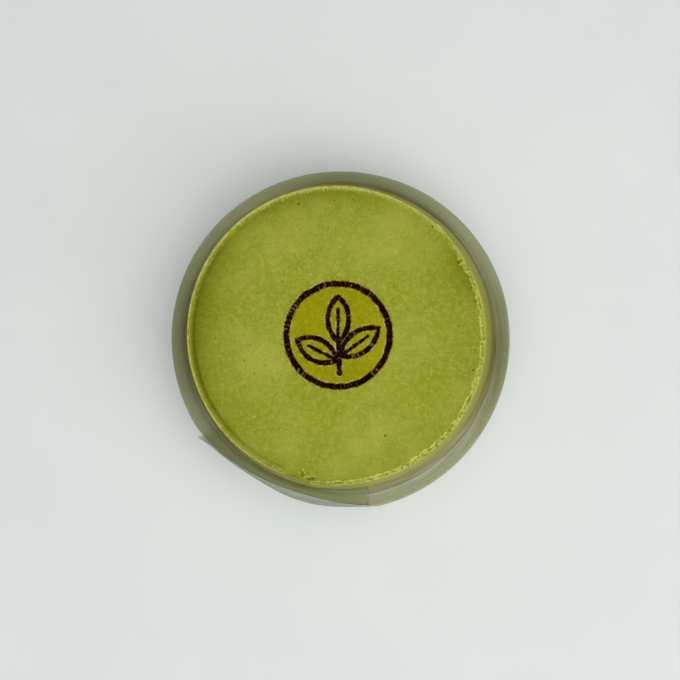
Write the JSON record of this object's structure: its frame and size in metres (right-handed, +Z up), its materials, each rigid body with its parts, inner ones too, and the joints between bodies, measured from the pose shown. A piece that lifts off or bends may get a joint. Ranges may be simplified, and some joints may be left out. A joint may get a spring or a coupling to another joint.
{
  "type": "matcha cheesecake",
  "caption": "Round matcha cheesecake with a flat top and a burnt-in leaf mark, standing in a clear film collar that rises above its rim.",
  "frame": {"origin": "on the table under the middle of the film collar's loop, in the flat underside of the cake", "axes": "+Z up; +Y towards the head of the burnt-in mark; +X to its right"},
  "size_m": [0.15, 0.1505, 0.06],
  "materials": {
    "cake": "matte baked matcha crumb, fine-grained, with a dark burnt-in mark",
    "film": "clear glossy cake film"
  },
  "bodies": {
    "root": {"cake": "cake", "film_collar": "film"}
  },
  "joints": []
}
